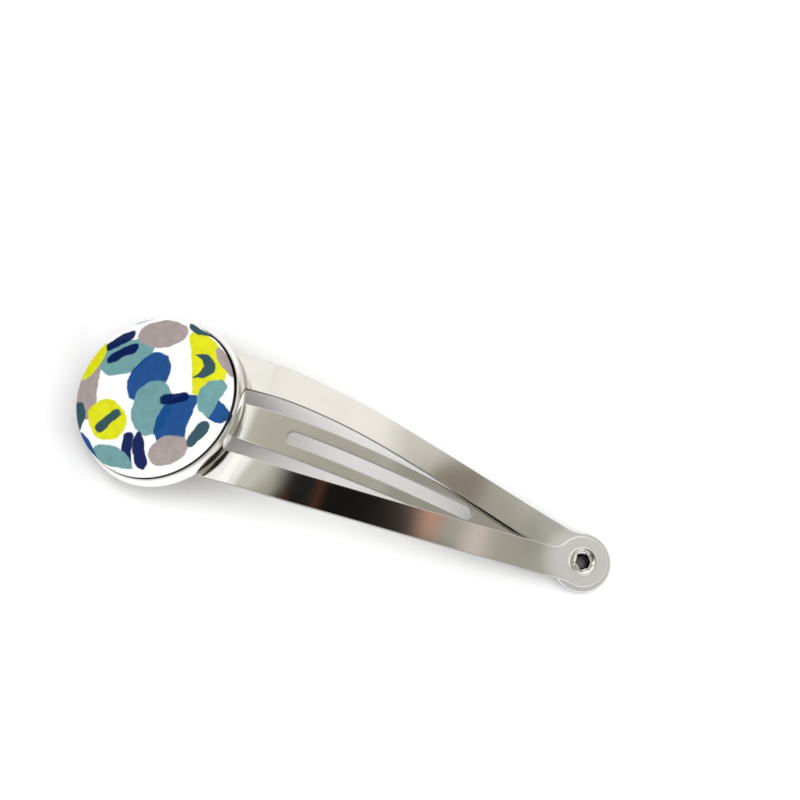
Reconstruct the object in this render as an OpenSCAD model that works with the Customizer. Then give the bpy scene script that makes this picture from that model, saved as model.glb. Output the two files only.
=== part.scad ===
// Snap hair clip: a sprung sheet-metal leaf with a round fabric-covered button in a metal cup.
// X runs from the button to the tip, Z is up, and the closed clip rests on the plane Z = 0.
// The leaf is drawn by its middle surface. The two arms swing up together about the snap line
// just outside the cup, and the tongue stays with the pad.

/* [Leaf] */
// Thickness of the spring sheet
sheet_t = 0.5; // [0.4:0.05:0.6]
// Width of the leaf at the pad
pad_w = 15.6; // [14:0.2:17]
// Slope of the pad, rising towards the tip
pad_tilt = 23; // [16:0.5:26]
// Distance along the pad from the cup's wall to the snap line
snap_clear = 0.39; // [0.3:0.01:1.5]
// Level distance from the button's centre to the rivet
tip_reach = 52.6; // [46:0.5:58]
// Fall of the tip discs below level
tip_tilt = 12; // [6:0.5:18]
// Length of the straight neck behind the rivet
neck_len = 4; // [3.6:0.1:5]
// Outward slope of each arm at its middle, like the side of a roof
roof_tilt = 10.6; // [6:0.2:13]

/* [Tongue] */
// Widest width of the tongue
tongue_w = 4.6; // [4:0.1:5]
// Distance from the tongue's end back to the rivet
tongue_gap = 7.6; // [7:0.2:10]
// Free height between the tongue and the arms that cover it
grip_gap = 0.2; // [0.15:0.05:0.5]
// Width of the slot along the tongue
slot_w = 1.6; // [1.2:0.1:2]
// Distance from the button's centre to the slot's near end
slot_start = 15.5; // [14:0.5:18]
// Metal left between the slot and the tongue's end
slot_end_wall = 6; // [4:0.5:10]

/* [Tip] */
// Radius of the upper tip disc
top_disc_r = 3; // [2.8:0.1:3.2]
// Radius of the lower tip disc
low_disc_r = 3.35; // [3.2:0.05:3.6]
// Gap between the two tip discs
lap_gap = 0.05; // [0.03:0.01:0.1]

/* [Rivet] */
// Outer radius of the eyelet's shank
shank_r = 1.05; // [0.95:0.05:1.2]
// Radius of the hole through the eyelet
bore_r = 0.72; // [0.6:0.02:0.8]
// Outer radius of the eyelet's rolled collar and foot
collar_r = 1.56; // [1.5:0.02:1.7]
// Height of the eyelet's foot under the lower disc
foot_h = 0.3; // [0.2:0.05:0.35]
// Running clearance of the shank in the discs
shank_play = 0.03; // [0.02:0.01:0.06]

/* [Button and cup] */
// Radius of the fabric-covered button
button_r = 9.8; // [9:0.1:10]
// Distance of the button's centre from the leaf's middle line, towards the left arm
button_side = -0.6; // [-0.8:0.05:0.8]
// Height of the button's dome above the cup's rim
dome_h = 4; // [2.8:0.1:4.4]
// Wall of the fabric
cloth_t = 1; // [1:0.1:1.3]
// Width of the fabric that is turned under the core
cloth_turn = 3; // [2:0.5:4]
// Sheet of the cup
cup_t = 0.35; // [0.3:0.05:0.5]
// Open gap between the button and the cup's wall
rim_gap = 0.26; // [0.06:0.02:0.4]
// Height of the cup over the pad
cup_h = 2.2; // [2:0.1:3]
// Outer radius of the cup's lower corner
cup_corner = 0.7; // [0.6:0.05:0.9]
// Clearance between the pieces of the button and the cup
seat_gap = 0.06; // [0.04:0.01:0.1]

/* [Hidden] */

steel = [0.78, 0.77, 0.74];
plastic = [0.9, 0.9, 0.88];
cloth = [0.93, 0.94, 0.95];
$fn = 64;

// Cut between the arms and the pad at the snap line
snap_gap = 0.1;
// Step that sinks the tongue's root into the pad
seam_step = 0.02;
// Length of that root inside the pad
root_len = 1.5;
// Width of the slit between the tongue and an arm at its closed end, which lies under the cup
slit_w = 1.6;
slit_under = 0.7;
// Share of the dome's fullness: 2 is an ellipse, more is squarer
dome_power = 3.6;
// Rings along an arm, round a tip disc, along the tongue, up the dome and round the tongue's end
arm_rings = 26;
disc_rings = 14;
tongue_rings = 24;
dome_rings = 12;
end_rings = 4;
// Angles round a tip disc, from the neck's side, where its rings begin and end
disc_from = 15;
disc_to = 176;
// Angle round the tongue's end, from its side, where its rings end
end_to = 80;

// Edges of the leaf as cubics along the span from the snap line to the neck: columns of each row
AT_START = 0;
AT_END = 1;
START_SLOPE = 2;
END_SLOPE = 3;
// Shares of half the pad's width
outer_edge = [1.0, 0.42, -0.14, -0.69];
inner_edge = [0.5, -0.06, 0.15, -0.66];
// Shares of half the tongue's width
tongue_edge = [0.95, 0.6, 0.5, -0.75];
// Shares of the span where the roof slope has risen and where it starts to fall
roof_full = 0.25;
roof_fade = 0.5;
// Shares of the span where one arm starts to rise over the other and where it lies clear of it
lap_start = 0.58;
lap_full = 0.93;
// Share of the span, from the slits' closed ends, where the tongue has reached its full depth
dip_full = 0.42;

half_pad = pad_w / 2;
cup_r = button_r + rim_gap + cup_t;
snap_reach = cup_r + snap_clear;
slit_reach = cup_r - slit_under;
pad_z = (cup_r - cup_corner) * sin(pad_tilt) - (sheet_t / 2 + cup_corner) * cos(pad_tilt) + cup_corner;
snap_x = snap_reach * cos(pad_tilt);
snap_z = pad_z + snap_reach * sin(pad_tilt);
slit_x = slit_reach * cos(pad_tilt);

// The tip stands on the lower disc's edge or on the rivet's foot, whichever reaches lower
lap_step = (sheet_t + lap_gap) / 2;
disc_low = low_disc_r * sin(tip_tilt) + (lap_step + sheet_t / 2) * cos(tip_tilt);
foot_low = collar_r * sin(tip_tilt) + (lap_step + sheet_t / 2 + foot_h) * cos(tip_tilt);
tip_z = max(disc_low, foot_low);
neck_x = tip_reach - neck_len;
neck_z = tip_z + neck_len * tan(tip_tilt);
span = neck_x - snap_x;
tongue_end = tip_reach - tongue_gap;
// Heights that cut right through one sheet, and from the floor through the whole arch
sheet_cut = 4 * sheet_t;
arch_cut = 2 * snap_z;
// Depth of the tongue below the arms: clear of the lowest inner edge that covers it
dip = sheet_t + grip_gap + tongue_w / 2 * tan(roof_tilt);

// Level middle of the clip, so that the origin lies under the middle of its box
rim_roll = cup_t / 2;
rear_x = -(cup_r - rim_roll) * cos(pad_tilt) - (sheet_t / 2 + cup_h - rim_roll) * sin(pad_tilt) - rim_roll;
front_x = tip_reach + low_disc_r * cos(tip_tilt);
mid_x = (rear_x + front_x) / 2;

function smooth(t) = let (c = min(1, max(0, t))) c * c * (3 - 2 * c);

// Cubic between two values with a slope at each end
function cubic(e, u) =
    e[AT_START] * (2 * pow(u, 3) - 3 * u * u + 1)
    + e[START_SLOPE] * (pow(u, 3) - 2 * u * u + u)
    + e[AT_END] * (3 * u * u - 2 * pow(u, 3))
    + e[END_SLOPE] * (pow(u, 3) - u * u);
function cubic_slope(e, u) =
    (e[AT_START] - e[AT_END]) * (6 * u * u - 6 * u)
    + e[START_SLOPE] * (3 * u * u - 4 * u + 1)
    + e[END_SLOPE] * (3 * u * u - 2 * u);

// Arch of the leaf's middle surface: straight pad, cubic arms, straight neck and disc
arch = [snap_z, neck_z, span * tan(pad_tilt), -span * tan(tip_tilt)];
function share(x) = (x - snap_x) / span;
function arch_z(x) =
    x < snap_x ? pad_z + x * tan(pad_tilt)
    : x > neck_x ? tip_z + (tip_reach - x) * tan(tip_tilt)
    : cubic(arch, share(x));
function arch_tilt(x) =
    x < snap_x ? pad_tilt
    : x > neck_x ? -tip_tilt
    : atan(cubic_slope(arch, share(x)) / span);

// Point over the arch at height n along the sheet's normal
function over_arch(x, y, n) =
    let (a = arch_tilt(x)) [x - n * sin(a), y, arch_z(x) + n * cos(a)];

// Roof slope of the arms: none at the snap line, none at the neck
function roof(x, y) =
    -abs(y) * tan(roof_tilt)
    * smooth(share(x) / roof_full) * smooth((1 - share(x)) / (1 - roof_fade));
function lap(x) = lap_step * smooth((share(x) - lap_start) / (lap_full - lap_start));

// Half chord of a tip disc; x is cut back so that the level plan follows the tilted disc
function chord(x, r) = sqrt(max(0, r * r - pow((x - tip_reach) / cos(tip_tilt), 2)));
function arm_outer(x, r) =
    x > tip_reach ? chord(x, r)
    : max(half_pad * cubic(outer_edge, min(1, share(x))), chord(x, r));
function arm_inner(x, r) =
    let (c = chord(x, r), strip = half_pad * cubic(inner_edge, min(1, share(x))))
    x > tip_reach ? -c : c > 0 ? min(strip, -c) : strip;

// Closed solid through rings of four points, each ring in the same order
module swept(rings) {
    last = len(rings) - 1;
    sides = [for (i = [0:last - 1], k = [0:3])
        let (a = 4 * i + k, b = 4 * i + (k + 1) % 4)
        each [[a, b, b + 4], [a, b + 4, a + 4]]];
    caps = [[2, 1, 0], [3, 2, 0],
        [4 * last, 4 * last + 1, 4 * last + 2], [4 * last, 4 * last + 2, 4 * last + 3]];
    polyhedron(points = [for (ring = rings) each ring], faces = concat(sides, caps), convexity = 6);
}

// Places along an arm: even along the span, then closer round the disc
function arm_places(r) =
    let (start = snap_x + snap_gap * cos(pad_tilt))
    concat(
        [for (i = [0:arm_rings]) start + (neck_x - start) * i / arm_rings],
        [for (i = [0:disc_rings])
            tip_reach - r * cos(tip_tilt) * cos(disc_from + (disc_to - disc_from) * i / disc_rings)]);

// One arm. side is 1 for the left arm and -1 for the right one; step is 1 where its disc lies on top
module arm(side, step, r) {
    half = sheet_t / 2;
    difference() {
        swept([for (x = arm_places(r))
            let (out = arm_outer(x, r), inn = arm_inner(x, r), n = step * lap(x))
            let (ro = roof(x, out), ri = roof(x, inn))
            side > 0
                ? [over_arch(x, out, n + ro - half), over_arch(x, inn, n + ri - half),
                   over_arch(x, inn, n + ri + half), over_arch(x, out, n + ro + half)]
                : [over_arch(x, -inn, n + ri - half), over_arch(x, -out, n + ro - half),
                   over_arch(x, -out, n + ro + half), over_arch(x, -inn, n + ri + half)]]);
        at_tip() cylinder(h = sheet_cut, r = shank_r + shank_play, center = true);
    }
}

// Frames: the whole clip about the middle of its box, the tilted pad, the cup on it, the tilted tip
module clip_frame() translate([-mid_x, -button_side, 0]) children();
module on_pad() translate([0, 0, pad_z]) rotate([0, -pad_tilt, 0]) children();
module in_cup() clip_frame() on_pad() translate([0, button_side, sheet_t / 2]) children();
module at_tip() translate([tip_reach, 0, tip_z]) rotate([0, tip_tilt, 0]) children();

// Half width of the tongue, with a round end
function tongue_half(x) =
    let (u = share(x) * span / (tongue_end - snap_x), w = tongue_w / 2 * cubic(tongue_edge, max(0, u)),
        end_r = tongue_w / 2 * tongue_edge[AT_END], back = tongue_end - end_r)
    x < back ? w : min(w, sqrt(max(0, end_r * end_r - pow(x - back, 2))));

// Fall of the tongue below the arch: quick at its root, level where it is deepest
function tongue_dip(x) =
    let (left = 1 - min(1, max(0, (x - slit_x) / span / dip_full))) dip * (1 - left * left);

module tongue() {
    half = sheet_t / 2 - seam_step;
    start = slit_x - root_len;
    end_r = tongue_w / 2 * tongue_edge[AT_END];
    back = tongue_end - end_r;
    places = concat(
        [for (i = [0:tongue_rings]) start + (back - start) * i / tongue_rings],
        [for (i = [1:end_rings]) back + end_r * sin(end_to * i / end_rings)]);
    difference() {
        swept([for (x = places)
            let (w = tongue_half(x), n = -tongue_dip(x))
            [over_arch(x, w, n - half), over_arch(x, -w, n - half),
             over_arch(x, -w, n + half), over_arch(x, w, n + half)]]);
        slot();
    }
}

// Slot along the tongue, cut straight down, with round ends
module slot() {
    from = slot_start + slot_w / 2;
    to = tongue_end - slot_end_wall - slot_w / 2;
    for (x = [from, to]) translate([x, 0, 0]) cylinder(h = arch_cut, d = slot_w);
    translate([from, -slot_w / 2, 0]) cube([to - from, slot_w, arch_cut]);
}

// Pad under the cup, cut out round the tongue's root from the closed ends of the two slits
module pad() {
    arm_y = half_pad * inner_edge[AT_START];
    slit_y = (tongue_w / 2 * tongue_edge[AT_START] + arm_y) / 2;
    on_pad() linear_extrude(sheet_t, center = true) difference() {
        union() {
            circle(r = half_pad);
            translate([0, -half_pad]) square([snap_reach, pad_w]);
        }
        for (side = [-1, 1]) translate([slit_reach, side * slit_y]) circle(d = slit_w);
        translate([slit_reach, -arm_y]) square([pad_w, 2 * arm_y]);
    }
}

module base_leaf() {
    color(steel) clip_frame() {
        pad();
        tongue();
    }
}

module arm_left() {
    color(steel) clip_frame() arm(1, -1, low_disc_r);
}

module arm_right() {
    color(steel) clip_frame() arm(-1, 1, top_disc_r);
}

// Hollow eyelet: shank through both discs, rolled collar above, flat foot below
module rivet() {
    top = lap_step + sheet_t / 2;
    low = -top - foot_h;
    roll_r = (collar_r - bore_r) / 2;
    foot_bevel = foot_h / 3;
    color(steel) clip_frame() at_tip() rotate_extrude() {
        translate([bore_r, low]) square([shank_r - bore_r, top - low + roll_r / 2]);
        intersection() {
            translate([bore_r + roll_r, top]) circle(r = roll_r);
            translate([bore_r, top]) square([2 * roll_r, roll_r]);
        }
        polygon([[bore_r, low], [collar_r - foot_bevel, low], [collar_r, low + foot_bevel],
            [collar_r, -top], [bore_r, -top]]);
    }
}

// Pressed cup: flat floor on the pad, rounded lower corner, upright wall, rounded rim
module bezel_cup() {
    wall_in = cup_r - cup_t;
    color(steel) in_cup() rotate_extrude() {
        square([cup_r - cup_corner, cup_t]);
        intersection() {
            translate([cup_r - cup_corner, cup_corner]) difference() {
                circle(r = cup_corner);
                circle(r = cup_corner - cup_t);
            }
            translate([cup_r - cup_corner, 0]) square([cup_corner, cup_corner]);
        }
        translate([wall_in, cup_corner]) square([cup_t, cup_h - cup_corner - rim_roll]);
        translate([cup_r - rim_roll, cup_h - rim_roll]) circle(r = rim_roll);
    }
}

// Dome outline from the rim to the crown, shrunk by the wall inset
function dome(inset, low) =
    let (r = button_r - inset, h = dome_h - inset, rim = cup_h)
    concat([[r, low]],
        [for (i = [0:dome_rings])
            let (a = 90 * i / dome_rings)
            [i == dome_rings ? 0 : r * pow(cos(a), 2 / dome_power), rim + h * pow(sin(a), 2 / dome_power)]]);

// Rigid core that gives the button its dome
module button_core() {
    low = cup_t + seat_gap + cloth_t + seat_gap;
    color(plastic) in_cup() rotate_extrude()
        polygon(concat([[0, low]], [[button_r - cloth_t - seat_gap - cup_corner, low]],
            dome(cloth_t + seat_gap, low + cup_corner)));
}

// Fabric stretched over the core and turned in under its edge
module fabric_cover() {
    low = cup_t + seat_gap;
    turn_r = button_r - cloth_t - cloth_turn;
    bend = cup_corner;
    inner = dome(cloth_t, low + cloth_t + bend);
    color(cloth) in_cup() rotate_extrude()
        polygon(concat(
            [[turn_r, low], [button_r - bend, low]],
            dome(0, low + bend),
            [for (i = [len(inner) - 1:-1:0]) inner[i]],
            [[button_r - cloth_t - bend, low + cloth_t], [turn_r, low + cloth_t]]));
}

base_leaf();
arm_left();
arm_right();
rivet();
bezel_cup();
button_core();
fabric_cover();
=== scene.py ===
import math

import bpy
import numpy as np
from mathutils import Matrix, Vector
from mathutils.geometry import delaunay_2d_cdt


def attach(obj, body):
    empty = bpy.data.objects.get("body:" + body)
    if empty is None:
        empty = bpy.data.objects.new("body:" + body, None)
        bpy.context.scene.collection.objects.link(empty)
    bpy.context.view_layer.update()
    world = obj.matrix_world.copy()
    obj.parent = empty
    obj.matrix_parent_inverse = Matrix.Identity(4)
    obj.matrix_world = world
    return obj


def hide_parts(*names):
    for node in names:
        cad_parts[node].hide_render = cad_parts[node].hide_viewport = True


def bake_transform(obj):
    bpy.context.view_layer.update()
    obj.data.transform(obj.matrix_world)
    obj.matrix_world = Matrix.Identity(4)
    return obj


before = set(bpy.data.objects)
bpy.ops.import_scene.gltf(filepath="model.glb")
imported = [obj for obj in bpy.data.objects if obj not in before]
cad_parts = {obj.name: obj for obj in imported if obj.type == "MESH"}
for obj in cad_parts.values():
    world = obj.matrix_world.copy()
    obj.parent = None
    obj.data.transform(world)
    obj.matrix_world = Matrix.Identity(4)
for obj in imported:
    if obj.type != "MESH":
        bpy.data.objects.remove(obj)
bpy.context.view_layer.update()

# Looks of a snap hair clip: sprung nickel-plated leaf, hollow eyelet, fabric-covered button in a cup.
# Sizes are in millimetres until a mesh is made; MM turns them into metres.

MM = 0.001

# The sizes of the CAD model
SHEET = 0.5
PAD_W, PAD_TILT, SNAP_CLEAR = 15.6, 23.0, 0.39
TIP_REACH, TIP_TILT, NECK, ROOF_TILT = 52.6, 12.0, 4.0, 10.6
TONGUE_W, TONGUE_GAP, GRIP_GAP = 4.6, 7.6, 0.2
SLOT_W, SLOT_START, SLOT_WALL = 1.6, 15.5, 6.0
TOP_DISC, LOW_DISC, LAP_GAP = 3.0, 3.35, 0.05
SHANK_R, BORE_R, COLLAR_R, FOOT_H, SHANK_PLAY = 1.05, 0.72, 1.56, 0.3, 0.03
BUTTON_R, BUTTON_SIDE, RIM_GAP, DOME_H, DOME_POWER = 9.8, -0.6, 0.26, 4.0, 3.6
CUP_T, CUP_H, CUP_CORNER, SEAT_GAP, CLOTH_CAD = 0.35, 2.2, 0.7, 0.06, 1.0
CLOTH_TURN = 3.0
OUTER_EDGE = (1.0, 0.42, -0.14, -0.69)
INNER_EDGE = (0.5, -0.04, 0.15, -0.66)
TONGUE_EDGE = (0.95, 0.6, 0.5, -0.75)
ROOF_FULL, ROOF_FADE, LAP_START, LAP_FULL = 0.25, 0.5, 0.58, 0.93


def tan(a):
    return math.tan(math.radians(a))


def sin(a):
    return math.sin(math.radians(a))


def cos(a):
    return math.cos(math.radians(a))


HALF_PAD = PAD_W / 2
CUP_R = BUTTON_R + RIM_GAP + CUP_T
SNAP_REACH = CUP_R + SNAP_CLEAR
PAD_Z = (CUP_R - CUP_CORNER) * sin(PAD_TILT) - (SHEET / 2 + CUP_CORNER) * cos(PAD_TILT) + CUP_CORNER
SNAP_X = SNAP_REACH * cos(PAD_TILT)
SNAP_Z = PAD_Z + SNAP_REACH * sin(PAD_TILT)
LAP_STEP = (SHEET + LAP_GAP) / 2
TIP_Z = max(LOW_DISC * sin(TIP_TILT) + (LAP_STEP + SHEET / 2) * cos(TIP_TILT),
            COLLAR_R * sin(TIP_TILT) + (LAP_STEP + SHEET / 2 + FOOT_H) * cos(TIP_TILT))
NECK_X = TIP_REACH - NECK
NECK_Z = TIP_Z + NECK * tan(TIP_TILT)
SPAN = NECK_X - SNAP_X
TONGUE_END = TIP_REACH - TONGUE_GAP
DIP = SHEET + GRIP_GAP + TONGUE_W / 2 * tan(ROOF_TILT)
RIM_ROLL = CUP_T / 2
REAR_X = -(CUP_R - RIM_ROLL) * cos(PAD_TILT) - (SHEET / 2 + CUP_H - RIM_ROLL) * sin(PAD_TILT) - RIM_ROLL
MID_X = (REAR_X + TIP_REACH + LOW_DISC * cos(TIP_TILT)) / 2
ROOT_REACH = CUP_R - 0.7                                # the tongue's root, hidden by the cup
LEAF_Y = -BUTTON_SIDE
ROOT_X = ROOT_REACH * cos(PAD_TILT)

# Finer than the CAD model
EDGE_R = 0.1                                            # the sheet's rolled edges
TONGUE_DIP_FULL = 0.42                                  # share of the span over which the tongue falls
INNER_FILLET, OUTER_FILLET = 1.3, 1.2                   # where an arm runs into its disc
BEND = 7.0                                              # length past the snap line over which a clip's arms bend as they snap; here it sets only an unused point
CLOTH_T = 0.35
CUP_SHIFT, OFF_CENTRE = (0.37, -0.05), (-0.06, -0.10)   # of the cup on the pad, and of the button in the cup
DISC_SHOWN, ROLL_R = 3.52, 1.72                         # the lower disc and the eyelet's head


def placed(name, data):
    """A new object in the scene."""
    made = bpy.data.objects.new(name, data)
    bpy.context.scene.collection.objects.link(made)
    return made


def aimed(name, data, place, right, up, back):
    """A camera or a lamp that looks along the opposite of back."""
    made = placed(name, data)
    made.matrix_world = Matrix((
        (right[0], up[0], back[0], place[0]), (right[1], up[1], back[1], place[1]),
        (right[2], up[2], back[2], place[2]), (0, 0, 0, 1)))
    return made


# Camera, as fitted to the photograph
ELEVATION, TURN = 74.0, 21.12
CAMERA_FAR = 400.0
FOCAL, SENSOR = 150.3, 36.0
CLIP_START, CLIP_END = 0.01, 20.0
AIM = (2.69, 11.16 + LEAF_Y, 0.0)
RIGHT = (cos(TURN), sin(TURN), 0.0)
BACK = (cos(ELEVATION) * sin(TURN), -cos(ELEVATION) * cos(TURN), sin(ELEVATION))
UP = tuple(Vector(BACK).cross(Vector(RIGHT)))
lens = bpy.data.cameras.new("camera")
lens.lens, lens.sensor_width, lens.clip_start, lens.clip_end = FOCAL, SENSOR, CLIP_START, CLIP_END
camera = aimed("camera", lens, [(a + CAMERA_FAR * b) * MM for a, b in zip(AIM, BACK)], RIGHT, UP, BACK)
bpy.context.scene.camera = camera


# The leaf's middle surface
def smooth(t):
    t = min(1.0, max(0.0, t))
    return t * t * (3 - 2 * t)


def cubic(e, u):
    """From e[0] at u 0 to e[1] at u 1, with the slopes e[2] and e[3] at its ends."""
    return (e[0] * (2 * u ** 3 - 3 * u * u + 1) + e[2] * (u ** 3 - 2 * u * u + u)
            + e[1] * (3 * u * u - 2 * u ** 3) + e[3] * (u ** 3 - u * u))


def cubic_slope(e, u):
    return (e[0] - e[1]) * (6 * u * u - 6 * u) + e[2] * (3 * u * u - 4 * u + 1) + e[3] * (3 * u * u - 2 * u)


ARCH = (SNAP_Z, NECK_Z, SPAN * tan(PAD_TILT), -SPAN * tan(TIP_TILT))


def share(x):
    """How far x is from the snap line to the neck, from 0 to 1."""
    return (x - SNAP_X) / SPAN


def arch_z(x):
    if x < SNAP_X:
        return PAD_Z + x * tan(PAD_TILT)
    if x > NECK_X:
        return TIP_Z + (TIP_REACH - x) * tan(TIP_TILT)
    return cubic(ARCH, share(x))


def arch_tilt(x):
    if x < SNAP_X:
        return math.radians(PAD_TILT)
    if x > NECK_X:
        return -math.radians(TIP_TILT)
    return math.atan(cubic_slope(ARCH, share(x)) / SPAN)


def over_arch(x, y, n):
    """Point at height n over the arch's middle surface, in the clip's frame."""
    a = arch_tilt(x)
    return Vector((x - n * math.sin(a) - MID_X, y + LEAF_Y, arch_z(x) + n * math.cos(a)))


def arm_lift(step):
    """Height over the arch of the arm whose disc lies below (-1) or on top (1): roofed, then lapped."""
    def lift(x, y):
        u = share(x)
        roof = -abs(y) * tan(ROOF_TILT) * smooth(u / ROOF_FULL) * smooth((1 - u) / (1 - ROOF_FADE))
        return roof + step * LAP_STEP * smooth((u - LAP_START) / (LAP_FULL - LAP_START))
    return lift


def tongue_lift(x, y):
    t = min(1.0, max(0.0, (x - ROOT_X) / SPAN / TONGUE_DIP_FULL))
    return -DIP * (1 - (1 - t) ** 2)


# Outlines in plan. Steps along an edge or round a tip disc, round the tongue's end or a hole, round a quarter
# of the pad, and round the end of a slot or a slit
EDGE_STEPS, ROUND_STEPS, PAD_STEPS, NARROW_STEPS = 120, 48, 40, 24


def stations(start, end):
    return [start + (end - start) * i / EDGE_STEPS for i in range(EDGE_STEPS + 1)]


def arc(cx, cy, rx, ry, start, end, count):
    turn = [math.radians(start + (end - start) * i / count) for i in range(count + 1)]
    return [(cx + rx * math.cos(a), cy + ry * math.sin(a)) for a in turn]


def spaced(points, step):
    """The polyline again at an even step, its ends kept."""
    p = np.array(points, float)
    at = np.concatenate([[0], np.cumsum(np.hypot(*np.diff(p, axis=0).T))])
    want = np.linspace(0, at[-1], max(2, round(at[-1] / step) + 1))
    return [(float(x), float(y)) for x, y in zip(np.interp(want, at, p[:, 0]), np.interp(want, at, p[:, 1]))]


def eased(points, corner, reach, step=0.05):
    """The polyline with the corner nearest to a point rounded over a reach to each side."""
    p = np.array(spaced(points, step), float)
    k = int(np.argmin(np.hypot(p[:, 0] - corner[0], p[:, 1] - corner[1])))
    d = max(1, round(reach / step))
    a, b, c = p[max(0, k - d)], p[k], p[min(len(p) - 1, k + d)]
    t = np.linspace(0, 1, 2 * d + 1)[:, None]
    bend = (1 - t) ** 2 * a + 2 * t * (1 - t) * b + t * t * c
    return [tuple(q) for q in np.vstack([p[:max(0, k - d)], bend, p[k + d + 1:]])]


def crossing(edge, r, step=0.01):
    """Where a strip's straight-on edge (x, then y from edge(x)) meets a tip disc, from the neck onwards."""
    x = NECK_X
    while x < TIP_REACH and ((x - TIP_REACH) / cos(TIP_TILT)) ** 2 + edge(x) ** 2 > r * r:
        x += step
    return x


def strip_edge(table):
    """An arm's edge as y over x, carried on straight beyond the neck."""
    def edge(x):
        if x <= NECK_X:
            return HALF_PAD * cubic(table, share(x))
        return HALF_PAD * (table[1] + table[3] * (x - NECK_X) / SPAN)
    return edge


def wall_run(points, step=0.26):
    """Points of a walled edge with their outward normals; the metal lies to the left of the run."""
    p = np.array(spaced(points, step), float)
    d = np.gradient(p, axis=0)
    n = np.stack([d[:, 1], -d[:, 0]], 1) / np.hypot(d[:, 0], d[:, 1])[:, None]
    return [(x, y, nx, ny, True) for (x, y), (nx, ny) in zip(p, n)]


def seam_run(points, step=0.4):
    """Points of an edge that carries on into another plate: no wall and no inset. Its ends are left out."""
    return [(x, y, 0.0, 0.0, False) for x, y in spaced(points, step)[1:-1]]


ROOT = (ROOT_X, 0.0, 0.0, 0.0, False)


def half_leaf(disc):
    """Outline of the left half of the pad with one arm, counter-clockwise."""
    ct, cd = cos(PAD_TILT), cos(TIP_TILT)
    low, high = TONGUE_W / 2 * TONGUE_EDGE[0], HALF_PAD * INNER_EDGE[0]
    inner, outer = strip_edge(INNER_EDGE), strip_edge(OUTER_EDGE)
    xi, xo = crossing(inner, disc), crossing(outer, disc)
    corner_i, corner_o = (xi, inner(xi)), (xo, outer(xo))
    from_a = math.degrees(math.atan2(corner_i[1], (xi - TIP_REACH) / cd))
    to_a = math.degrees(math.atan2(corner_o[1], (xo - TIP_REACH) / cd))
    slit = arc(ROOT_X, (low + high) / 2, (high - low) / 2 * ct, (high - low) / 2, -90, -270, NARROW_STEPS)
    tip = arc(TIP_REACH, 0, disc * cd, disc, from_a, to_a, EDGE_STEPS)
    path = slit + [(x, inner(x)) for x in stations(SNAP_X, xi)[1:]]
    path += tip[1:] + [(x, outer(x)) for x in stations(xo, SNAP_X)[1:]]
    path += [(0.0, HALF_PAD)] + arc(0, 0, HALF_PAD * ct, HALF_PAD, 90, 180, PAD_STEPS)[1:]
    path = eased(path, corner_i, INNER_FILLET)
    path = eased(path, corner_o, OUTER_FILLET)
    rear = (-HALF_PAD * ct, 0.0)
    wall = wall_run(path)
    wall[-1] = (*rear, -1.0, 0.0, True)
    return wall + seam_run([rear, (ROOT_X, 0.0)]) + [ROOT] + seam_run([(ROOT_X, 0.0), (ROOT_X, low)])


def mirrored(loop):
    """The outline on the other side of the clip's middle line, still counter-clockwise."""
    return [(x, -y, nx, -ny, walled) for x, y, nx, ny, walled in reversed(loop)]


def tongue_outline():
    """Outline of the tongue beyond the snap line, counter-clockwise, with its root seam."""
    end_r = TONGUE_W / 2 * TONGUE_EDGE[1]
    back = TONGUE_END - end_r
    w = TONGUE_W / 2 * TONGUE_EDGE[0]
    side = [(ROOT_X, -w)]
    for x in stations(SNAP_X, back):
        side.append((x, -TONGUE_W / 2 * cubic(TONGUE_EDGE, share(x) * SPAN / (TONGUE_END - SNAP_X))))
    half_end = -side[-1][1]
    end = arc(back, 0, end_r, half_end, -90, 90, ROUND_STEPS)[1:]
    path = side + end + [(x, -y) for x, y in reversed(side[:-1])]
    return wall_run(path) + seam_run([(ROOT_X, w), (ROOT_X, 0.0)]) + [ROOT] \
        + seam_run([(ROOT_X, 0.0), (ROOT_X, -w)])


def slot_outline():
    """The slot as a clockwise loop, so that its walls face inward."""
    r = SLOT_W / 2
    a, b = SLOT_START + r, TONGUE_END - SLOT_WALL - r
    near_end, far_end = arc(a, 0, r, r, 270, 90, NARROW_STEPS), arc(b, 0, r, r, 90, -90, NARROW_STEPS)
    return wall_run([(a, -r)] + near_end[1:] + [(b, r)] + far_end[1:] + [(a, -r)])[:-1]


def hole_outline():
    """The eyelet's hole in a tip disc, clockwise."""
    r = SHANK_R + SHANK_PLAY
    return wall_run(arc(TIP_REACH, 0, r * cos(TIP_TILT), r, 360, 0, ROUND_STEPS), 0.2)[:-1]


def inside(points, loop):
    """Whether each point lies within the loop, by how often a ray from it crosses the loop."""
    p, q = np.asarray(points, float), np.array([c[:2] for c in loop], float)
    px, py = p[:, 0], p[:, 1]
    hit = np.zeros(len(p), bool)
    for (ax, ay), (bx, by) in zip(q, np.roll(q, -1, axis=0)):
        if ay != by:
            hit ^= ((ay > py) != (by > py)) & (px < (bx - ax) * (py - ay) / (by - ay) + ax)
    return hit


def between(points, rims):
    """Whether each point lies within the first rim and outside the others."""
    keep = inside(points, rims[0])
    for rim in rims[1:]:
        keep &= ~inside(points, rim)
    return keep


class Shell:
    """Vertices with their own normals, faces, and how much each vertex belongs to a cut edge."""

    def __init__(self):
        self.verts, self.normals, self.faces, self.edge = [], [], [], []

    def add(self, p, n, edge=0.0):
        self.verts.append(p * MM)
        self.normals.append(n.normalized())
        self.edge.append(edge)
        return len(self.verts) - 1


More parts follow.
